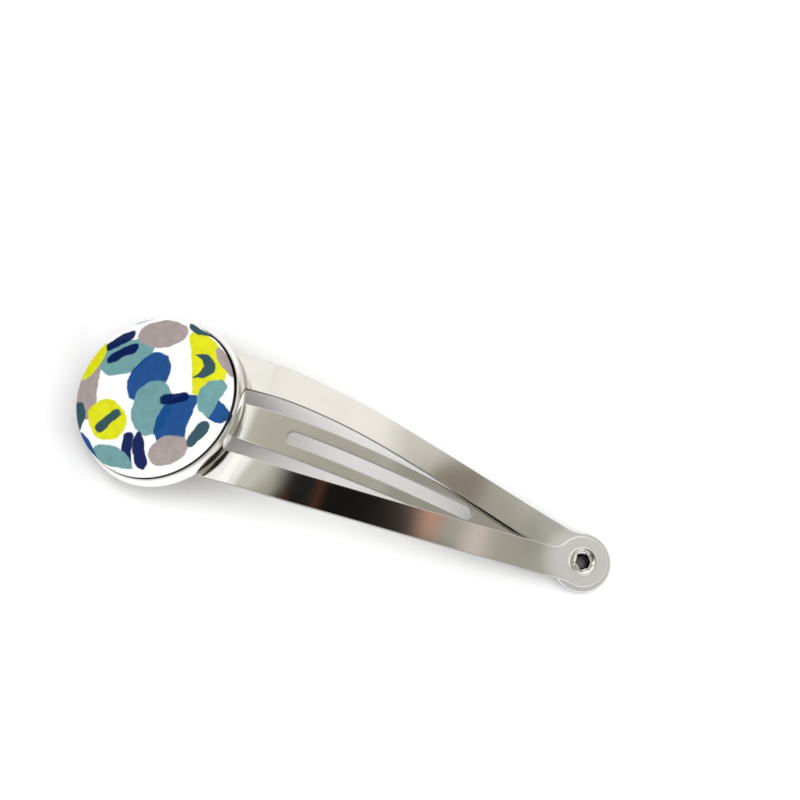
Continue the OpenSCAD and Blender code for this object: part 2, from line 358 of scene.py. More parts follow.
def tangents(lift, x, y, d=0.02):
    """Unit directions on the lifted sheet along x and along y, and its normal."""
    a, b = over_arch(x - d, y, lift(x - d, y)), over_arch(x + d, y, lift(x + d, y))
    side = 1 if y >= 0 else -1
    c, e = over_arch(x, y, lift(x, y)), over_arch(x, y + side * d, lift(x, y + side * d))
    tx, ty = (b - a).normalized(), (e - c).normalized() * side
    return tx, ty, tx.cross(ty).normalized()


def plate(shell, loops, lift, pitch=0.42, turns=4):
    """Adds sheet metal between outlines: two faces on a triangle grid, and rolled edges on walled runs."""
    half = SHEET / 2
    flat, edges, first = [], [], []
    for loop in loops:
        first.append(len(flat))
        flat += [(x - nx * EDGE_R, y - ny * EDGE_R) for x, y, nx, ny, _ in loop]
        edges += [(first[-1] + i, first[-1] + (i + 1) % len(loop)) for i in range(len(loop))]
    rims = [flat[a:b] for a, b in zip(first, first[1:] + [len(flat)])]
    rim_points = np.array(flat)
    low, high = rim_points.min(0), rim_points.max(0)
    across, down = (int((high[k] - low[k]) / pitch) + 2 for k in (0, 1))
    grid = np.array([(low[0] + i * pitch, low[1] + (j + 0.5 * (i % 2)) * pitch)
                     for i in range(across) for j in range(down)])
    grid = grid[between(grid, rims)]
    near = np.array([np.hypot(*(rim_points - g).T).min() for g in grid])
    grid = grid[near > 0.5 * pitch]
    flat += [tuple(g) for g in grid]
    points, _, triangles, origin = delaunay_2d_cdt([Vector(p) for p in flat], edges, [], 0, 1e-6, True)[:4]
    where = {old: new for new, olds in enumerate(origin) for old in olds}
    centres = np.array([[sum(points[v][k] for v in t) / 3 for k in (0, 1)] for t in triangles])
    triangles = [t for t, k in zip(triangles, between(centres, rims)) if k]
    top, under = {}, {}
    for v in sorted({v for t in triangles for v in t} | {where[i] for i in range(len(rim_points))}):
        x, y = points[v]
        up, n = tangents(lift, x, y)[2], lift(x, y)
        top[v] = shell.add(over_arch(x, y, n + half), up)
        under[v] = shell.add(over_arch(x, y, n - half), -up)
    for t in triangles:
        shell.faces += [[top[v] for v in t], [under[v] for v in reversed(t)]]
    turn = [math.radians(90 * (1 - q / turns)) for q in range(1, turns + 1)]
    for start, loop in zip(first, loops):
        rings = []
        for i, (x, y, nx, ny, walled) in enumerate(loop):
            v = where[start + i]
            if not walled:
                rings.append(None)
                continue
            tx, ty, up = tangents(lift, x, y)
            out = (tx * nx + ty * ny).normalized()
            ring = [top[v]]
            for side, angles in ((1, turn), (-1, turn[::-1])):
                for a in angles:
                    inset = EDGE_R * (1 - math.cos(a))
                    px, py = x - nx * inset, y - ny * inset
                    height = side * (half - EDGE_R + EDGE_R * math.sin(a))
                    ring.append(shell.add(over_arch(px, py, lift(px, py) + height),
                                          out * math.cos(a) + up * side * math.sin(a), math.cos(a) ** 2))
            rings.append(ring + [under[v]])
        for a, b in zip(rings, rings[1:] + rings[:1]):
            if a and b:
                shell.faces += [[a[q], a[q + 1], b[q + 1], b[q]] for q in range(len(a) - 1)]


def build(name, shell, weld=2e-6, grain=8):
    """A smooth mesh object with the shell's own normals. Vertices that agree in place, to the weld in metres,
    and in normal, to one part in grain, are joined."""
    cells, remap, verts, normals, edge = {}, [], [], [], []
    for p, n, e in zip(shell.verts, shell.normals, shell.edge):
        key = tuple(round(c / weld) for c in p) + tuple(round(c * grain) for c in n)
        if key not in cells:
            cells[key] = len(verts)
            verts.append(tuple(p))
            normals.append(tuple(n))
            edge.append(e)
        remap.append(cells[key])
    faces = [f for f in ([remap[v] for v in face] for face in shell.faces) if len(set(f)) == len(f)]
    used = sorted({v for f in faces for v in f})
    slim = {v: i for i, v in enumerate(used)}
    mesh = bpy.data.meshes.new(name)
    mesh.from_pydata([verts[v] for v in used], [], [[slim[v] for v in f] for f in faces])
    cut_edge = mesh.attributes.new("cut_edge", "FLOAT", "POINT")
    cut_edge.data.foreach_set("value", [edge[v] for v in used])
    mesh.validate()
    mesh.shade_smooth()
    mesh.normals_split_custom_set_from_vertices([normals[v] for v in used])
    return placed(name, mesh)


# Frames of the cup, the button and the tip
def in_cup(x, y, z):
    """From the cup's frame, z over the pad's top face, to the clip's frame."""
    x, y, z = x + CUP_SHIFT[0], y + CUP_SHIFT[1], z + SHEET / 2
    return Vector((x * cos(PAD_TILT) - z * sin(PAD_TILT) - MID_X, y,
                   PAD_Z + x * sin(PAD_TILT) + z * cos(PAD_TILT)))


def on_button(x, y, z):
    """From the button's frame, beside the cup's, to the clip's frame."""
    return in_cup(x + OFF_CENTRE[0], y + OFF_CENTRE[1], z)


def at_tip(x, y, z):
    """From the tip discs' frame, about the eyelet's middle, to the clip's frame."""
    return Vector((TIP_REACH - MID_X + x * cos(TIP_TILT) + z * sin(TIP_TILT), y + LEAF_Y,
                   TIP_Z - x * sin(TIP_TILT) + z * cos(TIP_TILT)))


NEARLY_HALF = 0.49                                      # share of a side that a corner's arc may take


def rounded(profile, step=0.06):
    """A profile of (r, z, fillet radius) as fine points: each corner is cut by a quadratic arc."""
    out = []
    for i, (r, z, fillet) in enumerate(profile):
        here = Vector((r, z))
        if fillet <= 0 or i in (0, len(profile) - 1):
            out.append(here)
            continue
        before, after = Vector(profile[i - 1][:2]), Vector(profile[i + 1][:2])
        a, b = (here + (other - here).normalized() * min(fillet, (other - here).length * NEARLY_HALF)
                for other in (before, after))
        count = max(3, round((a - b).length / step))
        for k in range(count + 1):
            t = k / count
            out.append(a * (1 - t) ** 2 + here * (2 * t * (1 - t)) + b * t * t)
    return out


def revolved(name, profile, place, sides, shape=None, closed=True):
    """A body of revolution about the local z axis, and the length along its profile up to each point.
    shape(angle, r, z) may move its points."""
    verts, faces = [], []
    count = len(profile)
    along = [0.0]
    for a, b in zip(profile, profile[1:]):
        along.append(along[-1] + (Vector(b) - Vector(a)).length)
    for i in range(sides):
        angle = 2 * math.pi * i / sides
        for r, z in profile:
            if shape:
                r, z = shape(angle, r, z)
            verts.append(tuple(place(r * math.cos(angle), r * math.sin(angle), z) * MM))
    for i in range(sides):
        j = (i + 1) % sides
        for k in range(count - (0 if closed else 1)):
            m = (k + 1) % count
            faces.append([i * count + k, j * count + k, j * count + m, i * count + m])
    mesh = bpy.data.meshes.new(name)
    mesh.from_pydata(verts, [], faces)
    mesh.validate()
    mesh.shade_smooth()
    return placed(name, mesh), along


# Shader helpers
class Tree:
    """A node tree, emptied, with short calls that add a node and give its output."""

    def __init__(self, tree):
        self.tree = tree
        tree.nodes.clear()

    def add(self, kind, inputs=(), **settings):
        node = self.tree.nodes.new(kind)
        for key, value in settings.items():
            setattr(node, key, value)
        for key, value in dict(inputs).items():
            if isinstance(value, bpy.types.NodeSocket):
                self.tree.links.new(value, node.inputs[key])
            else:
                node.inputs[key].default_value = value
        return node

    def math(self, operation, a, b=0.0, c=0.0):
        return self.add("ShaderNodeMath", {0: a, 1: b, 2: c}, operation=operation).outputs[0]

    def vector(self, operation, a, b=(0.0, 0.0, 0.0)):
        node = self.add("ShaderNodeVectorMath", {0: a, 1: b}, operation=operation)
        return node.outputs["Value" if operation in ("LENGTH", "DOT_PRODUCT") else "Vector"]

    def remap(self, value, low, high, to_low=0.0, to_high=1.0, curve="SMOOTHSTEP"):
        ends = {"Value": value, "From Min": low, "From Max": high, "To Min": to_low, "To Max": to_high}
        return self.add("ShaderNodeMapRange", ends, interpolation_type=curve).outputs[0]

    def mix(self, factor, a, b, blend="MIX"):
        node = self.add("ShaderNodeMix", {}, data_type="RGBA", blend_type=blend)
        for socket, value in ((node.inputs[0], factor), (node.inputs[6], a), (node.inputs[7], b)):
            if isinstance(value, bpy.types.NodeSocket):
                self.tree.links.new(value, socket)
            else:
                socket.default_value = value
        return node.outputs[2]

    def noise(self, where, scale, detail=2.0, rough=0.5):
        return self.add("ShaderNodeTexNoise", {"Vector": where, "Scale": scale, "Detail": detail,
                                               "Roughness": rough}).outputs["Fac"]


def linear(r, g, b):
    """An sRGB colour of 0 to 255 as a linear one."""
    return (*(c / 255 / 12.92 if c <= 10.3 else ((c / 255 + 0.055) / 1.055) ** 2.4 for c in (r, g, b)), 1.0)


def darker(colour, part):
    return (*(c * part for c in colour[:3]), 1.0)


def new_material(name):
    made = bpy.data.materials.new(name)
    made.use_nodes = True
    return made, Tree(made.node_tree)


def in_mm(tree, stretch=(1.0, 1.0, 1.0)):
    """The object's own coordinates in millimetres."""
    place = tree.add("ShaderNodeTexCoord").outputs["Object"]
    return tree.vector("MULTIPLY", place, tuple(s / MM for s in stretch))


def openness(tree, reach, samples):
    """Share of the sky that a point sees past what stands within the reach in metres."""
    return tree.add("ShaderNodeAmbientOcclusion", {"Distance": reach}, samples=samples).outputs["AO"]


def bumped(tree, height, strength, depth):
    return tree.add("ShaderNodeBump", {"Strength": strength, "Distance": depth, "Height": height}).outputs[0]


def surface(tree, inputs):
    shader = tree.add("ShaderNodeBsdfPrincipled", inputs)
    tree.add("ShaderNodeOutputMaterial", {"Surface": shader.outputs[0]})


# Plated steel. Scales are per millimetre; a rise is where a tone starts and where it is full
CLOUDS, LINES, SPECKS = 0.22, (0.35, 9.0, 9.0), 5.0     # of the polish, the rolling lines and the specks
CLOUD_RISE, SPECK_RISE = (0.35, 0.7), 0.35
CLOUD_ROUGH, LINE_ROUGH, EDGE_ROUGH = 0.05, 0.03, 0.08  # what each adds to the roughness at the most
EDGE_TONE = 0.16
# Painted shade in crevices: how far it looks, in metres, and the openness where it starts and where it is
# full
CREASE_SHADE_REACH, CREASE_SHADE_RISE = 0.0014, (0.86, 0.62)          # metres, and openness
RING_RISE, RING_WANDER = (6.2, 3.4), 1.5                # millimetres from the rivet's middle
# Colours of the painted shade in crevices and of the burnished ring
CREASE_SHADE_COLOUR, RING = (0.012, 0.012, 0.010, 1), (0.975, 0.985, 1.0, 1)
METAL_BUMP, METAL_DEPTH = 0.25, 0.000004


def metal(name, tint, shade, rough, edge_dark=0.0, lines=0.5, burnish=0.0, crease_shade_amount=0.0):
    """Bright plated steel with rolling lines along the clip, a faintly cloudy polish and duller cut edges.
    burnish roughens a satin ring where the rivet was pressed. The last argument is how dark the painted
    shade gets in crevices, where little sky is seen."""
    made, t = new_material(name)
    cloud = t.noise(in_mm(t), CLOUDS, 3.0, 0.55)
    fine = t.noise(in_mm(t, LINES), 1.0, 2.0, 0.6)
    speck = t.noise(in_mm(t), SPECKS, 2.0, 0.5)
    edge = t.add("ShaderNodeAttribute", attribute_name="cut_edge").outputs["Fac"]
    colour = t.mix(t.remap(cloud, *CLOUD_RISE), tint, shade)
    colour = t.mix(t.math("MULTIPLY", edge, edge_dark), colour, darker(shade, EDGE_TONE))
    r = t.math("MULTIPLY_ADD", cloud, CLOUD_ROUGH, rough - CLOUD_ROUGH / 2)
    r = t.math("ADD", r, t.math("MULTIPLY", fine, LINE_ROUGH))
    r = t.math("ADD", r, t.math("MULTIPLY", edge, EDGE_ROUGH))
    # Painted shade: where little sky is seen, the colour goes towards near black
    if crease_shade_amount:
        colour = t.mix(t.remap(openness(t, CREASE_SHADE_REACH, 8), *CREASE_SHADE_RISE, 0.0, crease_shade_amount), colour, CREASE_SHADE_COLOUR)
    if burnish:
        away = t.vector("SUBTRACT", in_mm(t), tuple(at_tip(0, 0, 0)))
        away = t.math("ADD", t.vector("LENGTH", away), t.math("MULTIPLY", cloud, RING_WANDER))
        pressed = t.remap(away, *RING_RISE)
        r = t.math("MULTIPLY_ADD", pressed, burnish, r)
        colour = t.mix(pressed, colour, RING)
    height = t.math("ADD", t.math("MULTIPLY", fine, lines), t.math("MULTIPLY", speck, SPECK_RISE))
    surface(t, {"Base Color": colour, "Metallic": 1.0, "Roughness": r,
                "Normal": bumped(t, height, METAL_BUMP, METAL_DEPTH)})
    return made


NICKEL = metal("nickel_plate", (0.80, 0.785, 0.755, 1), (0.77, 0.755, 0.72, 1), 0.075,
               edge_dark=0.8, burnish=0.33)
# The cup gets painted shade in its crevices, at the pad and round the button
CHROME = metal("cup_plate", (0.90, 0.89, 0.86, 1), (0.86, 0.85, 0.82, 1), 0.10, lines=0.2, crease_shade_amount=0.4)
EYELET = metal("eyelet_plate", (0.87, 0.86, 0.83, 1), (0.80, 0.79, 0.76, 1), 0.15, lines=0.2)

# Print of the fabric, up to where it tucks into the cup. Distances are in millimetres on the cloth from the
# button's crown: x towards the tip, y towards the left. Each row: form, x, y, half length, half width, turn
# in degrees, ink
INK = {
    "navy": linear(2, 27, 84), "blue": linear(22, 76, 138), "slate": linear(50, 82, 92),
    "sage": linear(112, 158, 160), "lime": linear(222, 224, 14), "mauve": linear(166, 154, 152),
}
PRINT = [
    ("half", -4.9, 4.6, 4.3, 4.1, 200, "sage"),
    ("dash", -5.9, 5.0, 2.2, 0.75, 40, "navy"),
    ("dash", -4.5, 3.5, 2.2, 0.75, 40, "navy"),
    ("pebble", -0.6, 7.2, 3.2, 2.1, 12, "mauve"),
    ("half", 5.2, 4.6, 4.4, 4.1, -62, "lime"),
    ("crescent", 5.9, 4.3, 1.8, 1.7, 200, "slate"),
    ("pebble", 0.2, 1.4, 3.3, 2.4, 72, "blue"),
    ("pebble", 2.2, -2.2, 3.5, 2.6, 105, "sage"),
    ("half", -6.4, -1.6, 3.9, 3.6, 108, "mauve"),
    ("pebble", -3.0, -4.9, 3.0, 2.3, -24, "lime"),
    ("dash", -2.8, -5.0, 1.9, 0.65, 52, "slate"),
    ("dash", 1.0, -7.9, 2.3, 0.75, 100, "navy"),
    ("dash", 2.6, -7.6, 2.3, 0.75, 112, "navy"),
    ("half", 6.9, -3.2, 3.9, 3.5, 88, "blue"),
    ("dash", 4.6, -0.4, 1.9, 0.7, 28, "navy"),
    ("pebble", 6.0, -6.6, 2.6, 1.7, 42, "mauve"),
    ("dash", 8.9, -3.6, 1.9, 0.75, 64, "slate"),
    ("half", 10.2, 0.8, 2.6, 2.4, 176, "blue"),
    ("half", 9.5, 1.2, 2.7, 2.3, 80, "sage"),
    ("half", -9.4, 2.2, 2.9, 2.4, 265, "lime"),
    ("pebble", -8.6, -5.6, 2.5, 1.9, 35, "slate"),
    ("half", -1.5, -10.3, 3.6, 2.6, 8, "sage"),
    ("pebble", -6.0, -8.9, 2.3, 1.6, -30, "blue"),
    ("pebble", -5.4, 9.9, 2.6, 1.8, 30, "blue"),
    ("pebble", 8.6, 7.2, 2.2, 1.7, -45, "mauve"),
    ("crescent", 3.4, 10.2, 1.9, 1.8, 100, "slate"),
]
CLOTH_SPAN = 100.0                                      # millimetres over the UV square
GROUND = (linear(251, 252, 253), linear(246, 248, 251))
DRIFT, DRIFT_SCALE, FRAY, FRAY_SCALE = 0.9, 0.55, 0.10, 4.5
PRINT_SOFT, INK_TONE, INK_COVER = 0.10, 0.84, 0.99      # soft edge, the ink's darker tone, how well it covers
HALF_CUT, HALF_ROUND = -0.15, 0.25                      # where a half is cut straight, and its round corners
BITE_AT, BITE_R, BITE_ROUND = 0.62, 0.85, 0.12          # the bite out of a crescent
THREAD, WASH_SCALE, FUZZ_SCALE = 0.3, 0.9, 7.0          # threads' pitch; scales of the tones and the fuzz
OVER_RISE, WEAVE_RISE, FUZZ_RISE = 0.35, 0.5, 1.1
# Painted shade in the low threads of the weave, and where the cloth tucks in past the bulge
WEAVE_SHADE = (-0.4, 1.5, 0.955, 1.0)                    # from low threads to high ones
TUCK_START, TUCK_END, TUCK_SHADE = 0.15, 0.75, 0.25      # millimetres past the bulge; tone that is left


def wandered(t, where, scale, detail, amount):
    """How far a noise moves a place in the plane."""
    noise = t.add("ShaderNodeTexNoise", {"Vector": where, "Scale": scale, "Detail": detail}).outputs["Color"]
    return t.vector("MULTIPLY", t.vector("SUBTRACT", noise, (0.5, 0.5, 0.5)), (amount, amount, 0))


def motif(t, spot, form, x, y, a, b, turn):
    """A motif's mask: an oval pebble, a square-ended dash, a half that is cut straight, a bitten crescent."""
    local = t.vector("SUBTRACT", spot, (x, y, 0.0))
    local = t.add("ShaderNodeVectorRotate", {"Vector": local, "Angle": -math.radians(turn)},
                  rotation_type="Z_AXIS").outputs[0]
    local = t.vector("MULTIPLY", local, (1 / a, 1 / b, 0.0))
    reach = t.vector("LENGTH", local)
    split = t.add("ShaderNodeSeparateXYZ", {0: local})
    if form == "dash":
        px = t.math("POWER", t.math("ABSOLUTE", split.outputs[0]), 4.0)
        py = t.math("POWER", t.math("ABSOLUTE", split.outputs[1]), 2.0)
        reach = t.math("POWER", t.math("ADD", px, py), 0.5)
    elif form == "half":
        reach = t.math("SMOOTH_MAX", reach, t.math("SUBTRACT", 1 + HALF_CUT, split.outputs[1]), HALF_ROUND)
    elif form == "crescent":
        bite = t.vector("LENGTH", t.vector("SUBTRACT", local, (BITE_AT, 0.0, 0.0)))
        reach = t.math("SMOOTH_MAX", reach, t.math("SUBTRACT", 1 + BITE_R, bite), BITE_ROUND)
    soft = PRINT_SOFT / min(a, b)
    return t.remap(reach, 1 + soft, 1 - soft)


def printed_cotton(bulge_reach):
    """White cotton with the print, a plain weave and fuzz. It gets painted shade in the low threads and where
    it tucks in past the bulge.
    """
    made, t = new_material("printed_cotton")
    uv = t.add("ShaderNodeUVMap", uv_map="cloth").outputs[0]
    uv = t.vector("MULTIPLY", uv, (CLOTH_SPAN, CLOTH_SPAN, 0.0))
    uv = t.vector("SUBTRACT", uv, (CLOTH_SPAN / 2, CLOTH_SPAN / 2, 0.0))
    spot = t.vector("ADD", uv, wandered(t, uv, DRIFT_SCALE, 2.0, DRIFT))
    spot = t.vector("ADD", spot, wandered(t, uv, FRAY_SCALE, 1.0, FRAY))
    wash = t.noise(uv, WASH_SCALE, 3.0, 0.6)
    colour = t.mix(t.remap(wash, 0.3, 0.7), *GROUND)
    for *form, ink in PRINT:
        tone = t.mix(t.remap(wash, 0.25, 0.75), INK[ink], darker(INK[ink], INK_TONE))
        colour = t.mix(t.math("MULTIPLY", motif(t, spot, *form), INK_COVER), colour, tone)
    thread = 2 * math.pi / THREAD
    split = t.add("ShaderNodeSeparateXYZ", {0: uv})
    warp = t.math("SINE", t.math("MULTIPLY", split.outputs[0], thread))
    weft = t.math("SINE", t.math("MULTIPLY", split.outputs[1], thread))
    over = t.math("SINE", t.math("MULTIPLY", t.math("ADD", split.outputs[0], split.outputs[1]), thread / 2))
    weave = t.math("ADD", t.math("MULTIPLY", warp, weft), t.math("MULTIPLY", over, OVER_RISE))
    fuzz = t.noise(uv, FUZZ_SCALE, 3.0, 0.65)
    height = t.math("ADD", t.math("MULTIPLY", weave, WEAVE_RISE), t.math("MULTIPLY", fuzz, FUZZ_RISE))
    # Painted shade: darker where the cloth tucks into the cup and in the low threads
    tuck_shade = t.remap(t.vector("LENGTH", uv), bulge_reach + TUCK_START, bulge_reach + TUCK_END, 1.0, TUCK_SHADE)
    shade = t.math("MULTIPLY", t.remap(height, *WEAVE_SHADE, "LINEAR"), tuck_shade)
    shade = t.add("ShaderNodeCombineXYZ", {0: shade, 1: shade, 2: shade}).outputs[0]
    surface(t, {"Base Color": t.mix(1.0, colour, shade, "MULTIPLY"), "Specular IOR Level": 0.05,
                "Roughness": t.remap(fuzz, 0.2, 0.8, 0.8, 0.92, "LINEAR"),
                "Normal": bumped(t, height, 0.5, 0.00004)})
    return made


def moulded_plastic():
    made, t = new_material("moulded_plastic")
    grain = t.noise(in_mm(t), 3.0, 3.0, 0.6)
    surface(t, {"Base Color": t.mix(t.remap(grain, 0.3, 0.7), (0.80, 0.80, 0.77, 1), (0.72, 0.72, 0.69, 1)),
                "Roughness": t.remap(grain, 0.2, 0.8, 0.42, 0.55, "LINEAR"),
                "Normal": bumped(t, grain, 0.2, 0.00002)})
    return made


def paint_shade_inside(made, profile, inner, material):
    """Gives the faces between the inner points of a revolved profile a material of their own,
    a dark one that stands for painted shade in the hollow.
    """
    made.data.materials.append(material)
    for face in made.data.polygons:
        if all(v % len(profile) in inner for v in face.vertices):
            face.material_index = 1


# The spring leaf: pad and both arms in one sheet
leaf_shell = Shell()
plate(leaf_shell, [half_leaf(DISC_SHOWN), hole_outline()], arm_lift(-1))
plate(leaf_shell, [mirrored(half_leaf(TOP_DISC)), hole_outline()], arm_lift(1))
spring_leaf = build("spring_leaf", leaf_shell)
spring_leaf.data.materials.append(NICKEL)
snap = over_arch(SNAP_X, 0, 0) * MM
past = over_arch(SNAP_X + BEND, 0, 0) * MM
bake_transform(spring_leaf)
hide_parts("base_leaf", "arm_left", "arm_right")

tongue_shell = Shell()
plate(tongue_shell, [tongue_outline(), slot_outline()], tongue_lift)
tongue = build("tongue", tongue_shell)
tongue.data.materials.append(NICKEL)
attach(tongue, "leaf")
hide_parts("base_leaf")

# Bodies of revolution: their sides, and how near a profile comes to the axis
CUP_SIDES, EYELET_SIDES, CLOTH_SIDES = 180, 120, 160
AXIS = 0.0001

# Cup
WALL_R, RIM_IN = CUP_R - 0.02, BUTTON_R + 0.1
FLOOR_R = WALL_R - 0.17
FOOT, FOOT_TURNS = 2.3, range(16, -1, -2)               # radius, and degrees round it
SHOULDER, SHOULDER_TURNS, SHOULDER_Z = 2.2, range(3, 27, 3), 0.75


def cup_profile():
    """Foot, wall, full shoulder, a fine crease and the flat rolled rim, then the inside, made dark and dull
    as painted shade, with the number of its first point. Corners are given as radius, height and fillet."""
    points = [Vector((AXIS, 0.0)), Vector((FLOOR_R, 0.0))]
    points += [Vector((WALL_R - FOOT * (1 - cos(a)), SHOULDER_Z - FOOT * sin(a))) for a in FOOT_TURNS]
    points += [Vector((WALL_R - SHOULDER * (1 - cos(a)), SHOULDER_Z + SHOULDER * sin(a)))
               for a in SHOULDER_TURNS]
    r, z = points[-1] + Vector((-0.02, 0.09))
    points += rounded([(r, z, 0), (r - 0.05, z + 0.04, 0.03), (RIM_IN + 0.05, z + 0.055, 0.03),
                       (RIM_IN, z - 0.01, 0)], 0.02)
    outside, within = len(points), RIM_IN - 0.3
    points += rounded([(RIM_IN - 0.04, z - 0.25, 0), (within, z - 0.6, 0.1), (within, CUP_T, 0.3),
                       (AXIS, CUP_T, 0)])
    return points, outside


cup_points, cup_outside = cup_profile()
cup, _ = revolved("cup", cup_points, in_cup, CUP_SIDES, closed=False)
cup.data.materials.append(CHROME)
# The inside gets a near-black dull metal: painted shade in the gap round the button
paint_shade_inside(cup, cup_points, range(cup_outside - 1, len(cup_points)),
            metal("cup_inside_shade", (0.20, 0.19, 0.17, 1), (0.14, 0.13, 0.12, 1), 0.45))
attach(cup, "leaf")
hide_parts("bezel_cup")


# Eyelet. The collar's rows: radius, height over the upper disc, fillet. The lip's lobes: depth, how many,
# phase in radians. Its splits: place round it in degrees, width in square degrees
EYELET_TOP = LAP_STEP + SHEET / 2
COLLAR = [
    (SHANK_R, 0.004, 0), (ROLL_R, 0.004, 0.05), (ROLL_R, 0.12, 0.08), (1.60, 0.25, 0.10), (1.42, 0.20, 0.08),
    (1.24, 0.10, 0.15), (1.06, 0.12, 0.12), (0.98, 0.30, 0.08), (0.88, 0.28, 0.08), (0.81, -0.02, 0.10),
    (BORE_R, -0.4, 0.1),
]
LIP_R, LIP_DEPTH, LIP_FADE = ROLL_R - 0.4, 0.2, 0.3
LOBES = [(0.05, 2, 2.0), (0.03, 5, 0.6)]
SPLITS = [(20, 90), (82, 50), (151, 120), (214, 60), (275, 140), (330, 70)]
SPLIT_OUT, SPLIT_DOWN = 0.10, 0.12
# Painted shade in the bore: within this radius and below this height the eyelet is near black
SHADED_BORE_R, SHADED_BORE_TOP = 0.84, EYELET_TOP + 0.1


def eyelet_profile():
    """Foot, shank, and the rolled collar dished round its lip."""
    low, seat = -EYELET_TOP - FOOT_H, -EYELET_TOP - 0.005
    foot = rounded([(BORE_R, 0, 0), (BORE_R, low, 0.08), (COLLAR_R, low, 0.12), (COLLAR_R, seat, 0.05),
                    (SHANK_R, seat, 0.0), (SHANK_R, EYELET_TOP + 0.005, 0)])
    return foot + rounded([(r, EYELET_TOP + z, fillet) for r, z, fillet in COLLAR] + [(BORE_R, 0.02, 0)])


def uneven_lip(angle, r, z):
    """The roller leaves the lip a little lobed and split."""
    if z > EYELET_TOP - LIP_DEPTH and r < LIP_R:
        near = min(1.0, (LIP_R - r) / LIP_FADE)
        turn = math.degrees(angle)
        split = sum(math.exp(-((turn - a + 180) % 360 - 180) ** 2 / w) for a, w in SPLITS)
        lobes = sum(depth * math.cos(count * angle + phase) for depth, count, phase in LOBES)
        return r + near * (lobes + SPLIT_OUT * split), z - near * SPLIT_DOWN * split
    return r, z


eyelet_points = eyelet_profile()
eyelet, _ = revolved("eyelet", eyelet_points, at_tip, EYELET_SIDES, uneven_lip)
eyelet.data.materials.append(EYELET)
# The bore gets a near-black metal: painted shade deep in the hollow
paint_shade_inside(eyelet, eyelet_points,
            {k for k, (r, z) in enumerate(eyelet_points) if r < SHADED_BORE_R and z < SHADED_BORE_TOP},
            metal("eyelet_bore_shade", (0.06, 0.055, 0.05, 1), (0.03, 0.03, 0.028, 1), 0.35))
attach(eyelet, "arms")
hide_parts("rivet")


# Fabric cover: crowned dome that bulges over the rim, tucked side, hem turned under the core
BULGE_R, BULGE_Z = 9.84, CUP_H + 0.1
SIDE_R, HEM_R = 9.45, BUTTON_R - CLOTH_CAD - CLOTH_TURN
DOME_STEPS = 44


def cover_profile(inset):
    """The cloth's outer face from crown to hem, or its inner face at an inset."""
    r, h = BULGE_R - inset, DOME_H + CUP_H - BULGE_Z - inset
    side, low = SIDE_R - inset, CUP_T + SEAT_GAP + inset
    turns = [90 * i / DOME_STEPS for i in range(DOME_STEPS + 1)]
    dome = [Vector((r * sin(a) ** (2 / DOME_POWER), BULGE_Z + h * max(0.0, cos(a)) ** (2 / DOME_POWER)))
            for a in turns]
    dome[0] = Vector((AXIS, BULGE_Z + h))
    return dome + rounded([(r, BULGE_Z - 0.02, 0), (r - 0.02, BULGE_Z - 0.25, 0.2), (side, CUP_H - 0.7, 0.3),
                           (side, low, 0.5), (HEM_R, low, 0)], 0.15)


outer_face, inner_face = cover_profile(0.0), cover_profile(CLOTH_T)
cover_points = outer_face + inner_face[::-1]
fabric, along = revolved("fabric_cover_cloth", cover_points, on_button, CLOTH_SIDES, closed=False)
layer = fabric.data.uv_layers.new(name="cloth")
reach = along[:len(outer_face)] + along[:len(inner_face)][::-1]
for loop in fabric.data.loops:
    i, k = divmod(loop.vertex_index, len(cover_points))
    angle = 2 * math.pi * i / CLOTH_SIDES
    turned = math.cos(angle), math.sin(angle)
    layer.data[loop.index].uv = [0.5 + reach[k] * part / CLOTH_SPAN for part in turned]
fabric.data.materials.append(printed_cotton(along[DOME_STEPS]))
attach(fabric, "leaf")
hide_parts("fabric_cover")

# The core keeps its shape from the frame
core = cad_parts["button_core"]
core.data.materials.clear()
core.data.materials.append(moulded_plastic())

# Floor: white paper with painted shade in the slits, most of all near the cup, and to the cup's left,
# a painted shadow under the eyelet's bore and the leaf, and a little painted light, a glow, in front of
# the clip. Openness tells the eyelet's bore, the slits and the paper outside
FLOOR_CORNERS = [(-1, -1, 0), (1, -1, 0), (1, 1, 0), (-1, 1, 0)]
FLOOR_REACH = 0.014                                     # metres
BORE_FADE, SLIT_RISE, BESIDE_RISE = (0.17, 0.32), (0.64, 0.54), (0.56, 0.66)
PAPER = ((0.93, 0.93, 0.93, 1), (0.95, 0.95, 0.95, 1))
BORE_SHADE, SLIT_SHADE, CUP_SHADE = (0.01, 0.01, 0.009, 1), (0.06, 0.05, 0.02, 1), (0.5, 0.5, 0.5, 1)
# Ways from the cup's middle; in millimetres along them, where a tone starts and ends, and its two strengths
FRONT, LEFT = (0.35, -0.9, 0.0), (-0.93, -0.36, 0.0)
SLIT_ALONG_X, SLIT_ALONG_Y = (10.4, 22.4, 0.60, 0.17), (-2.2, 1.6, 0.6, 1.0)
LIGHT_TO_FRONT, LIGHT_TO_TIP = (0.0, 6.0, 0.0, 0.08), (46.0, 28.0)
CUP_SHADE_RISE, CUP_SHADE_FADE = (7.5, 10.5, 0.0, 0.2), (18.0, 11.0)

